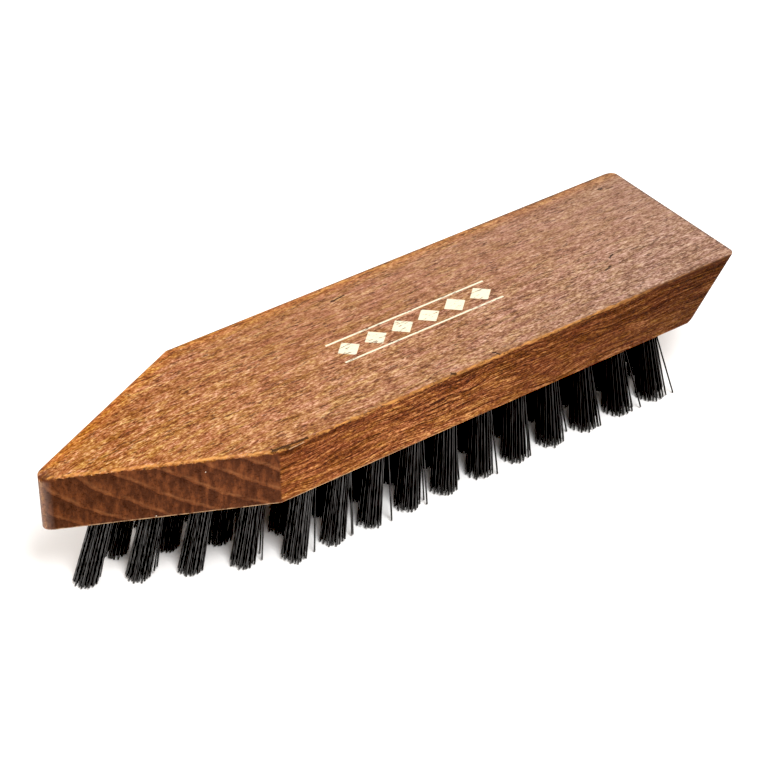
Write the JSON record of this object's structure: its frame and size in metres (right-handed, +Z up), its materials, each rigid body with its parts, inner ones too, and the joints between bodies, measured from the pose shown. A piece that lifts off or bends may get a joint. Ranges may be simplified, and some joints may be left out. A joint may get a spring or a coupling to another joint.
{
  "type": "clothes brush",
  "caption": "Pointed wooden block brush for clothes and laundry, with rows of folded nylon tufts held in fan-drilled bores by flat wire anchors.",
  "frame": {"origin": "on the plane of the bristle tips, under the middle of the overall length and width", "axes": "+Z up through the flat top of the block; +X along the block towards its rear end, so the pointed nose is towards -X; +Y across the block"},
  "size_m": [0.165, 0.0434, 0.0319],
  "materials": {
    "beech": "stained beech, satin",
    "black_nylon": "black filament",
    "anchor_wire": "flat steel wire"
  },
  "bodies": {
    "root": {"block": "beech", "tuft_row_01": "black_nylon", "tuft_row_02": "black_nylon", "tuft_row_03": "black_nylon", "tuft_row_04": "black_nylon", "tuft_row_05": "black_nylon", "tuft_row_06": "black_nylon", "tuft_row_07": "black_nylon", "tuft_row_08": "black_nylon", "tuft_row_09": "black_nylon", "tuft_row_10": "black_nylon", "tuft_row_11": "black_nylon", "tuft_row_12": "black_nylon", "tuft_row_13": "black_nylon", "tuft_row_14": "black_nylon", "tuft_row_15": "black_nylon", "anchor_row_01": "anchor_wire", "anchor_row_02": "anchor_wire", "anchor_row_03": "anchor_wire", "anchor_row_04": "anchor_wire", "anchor_row_05": "anchor_wire", "anchor_row_06": "anchor_wire", "anchor_row_07": "anchor_wire", "anchor_row_08": "anchor_wire", "anchor_row_09": "anchor_wire", "anchor_row_10": "anchor_wire", "anchor_row_11": "anchor_wire", "anchor_row_12": "anchor_wire", "anchor_row_13": "anchor_wire", "anchor_row_14": "anchor_wire", "anchor_row_15": "anchor_wire"}
  },
  "joints": []
}
